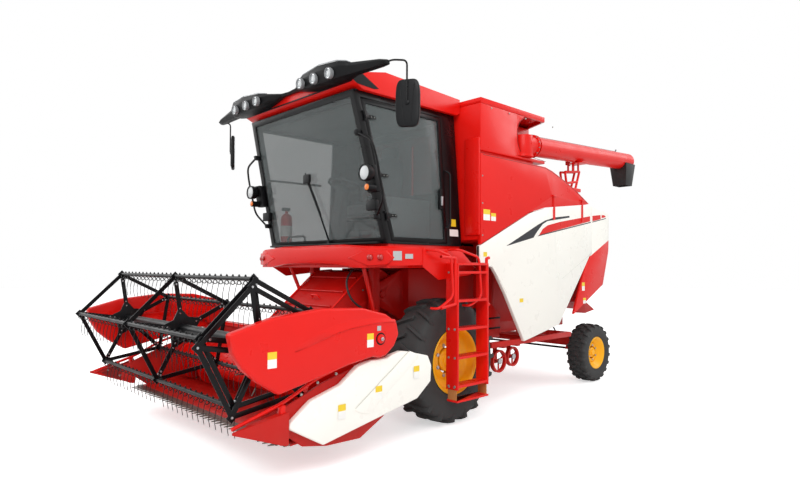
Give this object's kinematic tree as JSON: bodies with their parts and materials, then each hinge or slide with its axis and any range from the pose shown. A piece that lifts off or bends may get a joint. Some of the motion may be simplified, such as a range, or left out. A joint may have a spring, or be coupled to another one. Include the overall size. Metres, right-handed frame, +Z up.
{
  "type": "wheeled grain harvester",
  "caption": "Self-propelled wheeled grain harvester with a reel header, glazed cab, grain tank and swinging unloading auger.",
  "frame": {"origin": "on the ground below the middle of the machine's box", "axes": "+X to the machine's left, +Y to its rear, +Z up"},
  "size_m": [3.42, 6.8895, 3.53],
  "materials": {
    "bare_steel": "satin",
    "black_paint": "satin",
    "black_plastic": "matte",
    "cream_paint": "gloss",
    "cream_plastic": "gloss",
    "dark_red_paint": "satin",
    "engine_iron": "matte",
    "red_paint": "gloss",
    "red_plastic": "gloss",
    "rod_chrome": "polished",
    "seat_cloth": "matte",
    "soft_rubber": "matte",
    "strap_rubber": "matte",
    "tinted_glass": "clear",
    "tyre_rubber": "matte",
    "yellow_paint": "gloss"
  },
  "bodies": {
    "chassis": {"main_frame": "red_paint", "front_axle": "dark_red_paint", "rear_axle_beam": "black_paint", "thresher_body": "red_paint", "side_drives": "dark_red_paint", "conveyor_leg": "red_paint", "straw_hood": "cream_paint", "straw_chute": "dark_red_paint", "grain_tank": "red_paint", "engine_block": "engine_iron", "cooling_screen": "black_paint", "air_cleaner": "black_paint", "auger_mounts": "red_paint", "upper_panels": "red_paint", "cab_frame": "black_paint", "cab_roof": "red_plastic", "roof_visor": "black_plastic", "cab_glass": "tinted_glass", "operator_seat": "seat_cloth", "steering_console": "black_plastic", "mirrors": "black_paint", "pillar_lamps": "black_paint", "platform": "red_paint", "front_fascia": "red_plastic", "ladder": "red_paint", "step_straps": "strap_rubber"},
    "cab_door": {"cab_door": "black_paint", "door_glass": "tinted_glass"},
    "tank_lid": {"tank_lid": "red_paint"},
    "guard_left": {"guard_left": "cream_paint"},
    "guard_right": {"guard_right": "cream_paint"},
    "unloading_auger": {"auger_tube": "red_paint", "auger_spout": "soft_rubber"},
    "front_wheel_left": {"front_tyre_left": "tyre_rubber", "front_rim_left": "yellow_paint"},
    "front_wheel_right": {"front_tyre_right": "tyre_rubber", "front_rim_right": "yellow_paint"},
    "rear_wheel_left": {"rear_tyre_left": "tyre_rubber", "rear_rim_left": "yellow_paint"},
    "rear_wheel_right": {"rear_tyre_right": "tyre_rubber", "rear_rim_right": "yellow_paint"},
    "knuckle_left": {"knuckle_left": "black_paint"},
    "knuckle_right": {"knuckle_right": "black_paint"},
    "tie_rod": {"tie_rod": "black_paint"},
    "header": {"feeder_house": "red_paint", "header_table": "dark_red_paint", "header_shields": "cream_plastic", "knife_bar": "bare_steel"},
    "header_auger": {"header_auger": "red_paint"},
    "lift_barrels": {"lift_barrels": "black_paint"},
    "lift_rods": {"lift_rods": "rod_chrome"},
    "reel_frame": {"reel_arms": "black_paint", "reel_covers": "red_plastic"},
    "reel": {"reel_rotor": "black_paint"},
    "reel_control": {"reel_control": "black_paint"},
    "tine_bar_1": {"tine_bar_1": "black_paint"},
    "tine_bar_2": {"tine_bar_2": "black_paint"},
    "tine_bar_3": {"tine_bar_3": "black_paint"},
    "tine_bar_4": {"tine_bar_4": "black_paint"},
    "tine_bar_5": {"tine_bar_5": "black_paint"}
  },
  "joints": [
    {"name": "front_wheel_left_spin", "type": "hinge", "parent": "chassis", "child": "front_wheel_left", "pos_m": [1.11, -0.5845, 0.64], "axis": [1, 0, 0], "continuous": true},
    {"name": "front_wheel_right_spin", "type": "hinge", "parent": "chassis", "child": "front_wheel_right", "pos_m": [-1.11, -0.5845, 0.64], "axis": [1, 0, 0], "continuous": true},
    {"name": "steer_left", "type": "hinge", "parent": "chassis", "child": "knuckle_left", "pos_m": [0.8, 2.5425, 0.53], "axis": [0, 0, 1], "range_deg": [-35, 35]},
    {"name": "steer_right", "type": "hinge", "parent": "chassis", "child": "knuckle_right", "pos_m": [-0.8, 2.5425, 0.53], "axis": [0, 0, 1], "range_deg": [-35, 35]},
    {"name": "tie_rod_swing", "type": "hinge", "parent": "knuckle_left", "child": "tie_rod", "pos_m": [0.8, 2.7625, 0.38], "axis": [0, 0, 1], "range_deg": [-35, 35]},
    {"name": "rear_wheel_left_spin", "type": "hinge", "parent": "knuckle_left", "child": "rear_wheel_left", "pos_m": [1.095, 2.5425, 0.403], "axis": [1, 0, 0], "continuous": true},
    {"name": "rear_wheel_right_spin", "type": "hinge", "parent": "knuckle_right", "child": "rear_wheel_right", "pos_m": [-1.095, 2.5425, 0.403], "axis": [1, 0, 0], "continuous": true},
    {"name": "cab_door_hinge", "type": "hinge", "parent": "chassis", "child": "cab_door", "pos_m": [1.064, -1.2445, 1.83], "axis": [0.066, 0.2342, -0.9699], "range_deg": [0, 65]},
    {"name": "tank_lid_hinge", "type": "hinge", "parent": "chassis", "child": "tank_lid", "pos_m": [0, -0.1425, 3.476], "axis": [1, 0, 0], "range_deg": [0, 75]},
    {"name": "guard_left_hinge", "type": "hinge", "parent": "chassis", "child": "guard_left", "pos_m": [1.306, 1.0155, 2.5], "axis": [0, -1, 0], "range_deg": [0, 60]},
    {"name": "guard_right_hinge", "type": "hinge", "parent": "chassis", "child": "guard_right", "pos_m": [-1.306, 1.0155, 2.5], "axis": [0, 1, 0], "range_deg": [0, 60]},
    {"name": "auger_swing", "type": "hinge", "parent": "chassis", "child": "unloading_auger", "pos_m": [1.25, 0.7055, 2.93], "axis": [0, 0, -1], "range_deg": [0, 100]},
    {"name": "header_lift", "type": "hinge", "parent": "chassis", "child": "header", "pos_m": [0, -0.8845, 1.3], "axis": [-1, 0, 0], "range_deg": [-7, 18]},
    {"name": "header_auger_spin", "type": "hinge", "parent": "header", "child": "header_auger", "pos_m": [0, -2.1345, 0.55], "axis": [1, 0, 0], "continuous": true},
    {"name": "lift_barrel_swing", "type": "hinge", "parent": "chassis", "child": "lift_barrels", "pos_m": [0, -0.6845, 0.42], "axis": [-1, 0, 0], "range_deg": [-5.1, 13.1]},
    {"name": "lift_rod_slide", "type": "slide", "parent": "lift_barrels", "child": "lift_rods", "axis": [0, -1, 0], "range_m": [-0.11, 0.28]},
    {"name": "reel_lift", "type": "hinge", "parent": "header", "child": "reel_frame", "pos_m": [0, -1.8985, 1.004], "axis": [-1, 0, 0], "range_deg": [0, 25]},
    {"name": "reel_spin", "type": "hinge", "parent": "reel_frame", "child": "reel", "pos_m": [0, -2.8845, 1.028], "axis": [1, 0, 0], "continuous": true},
    {"name": "reel_control_spin", "type": "hinge", "parent": "reel_frame", "child": "reel_control", "pos_m": [1.449, -2.9245, 0.973], "axis": [1, 0, 0], "continuous": true},
    {"name": "tine_bar_1_turn", "type": "hinge", "parent": "reel", "child": "tine_bar_1", "pos_m": [0, -2.95825, 1.50999], "axis": [1, 0, 0], "continuous": true},
    {"name": "tine_bar_2_turn", "type": "hinge", "parent": "reel", "child": "tine_bar_2", "pos_m": [0, -3.36569, 1.1068], "axis": [1, 0, 0], "continuous": true},
    {"name": "tine_bar_3_turn", "type": "hinge", "parent": "reel", "child": "tine_bar_3", "pos_m": [0, -3.10814, 0.59471], "axis": [1, 0, 0], "continuous": true},
    {"name": "tine_bar_4_turn", "type": "hinge", "parent": "reel", "child": "tine_bar_4", "pos_m": [0, -2.54153, 0.68141], "axis": [1, 0, 0], "continuous": true},
    {"name": "tine_bar_5_turn", "type": "hinge", "parent": "reel", "child": "tine_bar_5", "pos_m": [0, -2.44889, 1.24709], "axis": [1, 0, 0], "continuous": true}
  ],
  "couplings": [
    {"joint": "steer_right", "follows": "steer_left", "ratio": 1},
    {"joint": "tie_rod_swing", "follows": "steer_left", "ratio": -1},
    {"joint": "lift_barrel_swing", "follows": "header_lift", "ratio": 0.72},
    {"joint": "lift_rod_slide", "follows": "header_lift", "m_per_rad": 0.86},
    {"joint": "reel_control_spin", "follows": "reel_spin", "ratio": 1},
    {"joint": "tine_bar_1_turn", "follows": "reel_spin", "ratio": -1},
    {"joint": "tine_bar_2_turn", "follows": "reel_spin", "ratio": -1},
    {"joint": "tine_bar_3_turn", "follows": "reel_spin", "ratio": -1},
    {"joint": "tine_bar_4_turn", "follows": "reel_spin", "ratio": -1},
    {"joint": "tine_bar_5_turn", "follows": "reel_spin", "ratio": -1}
  ]
}
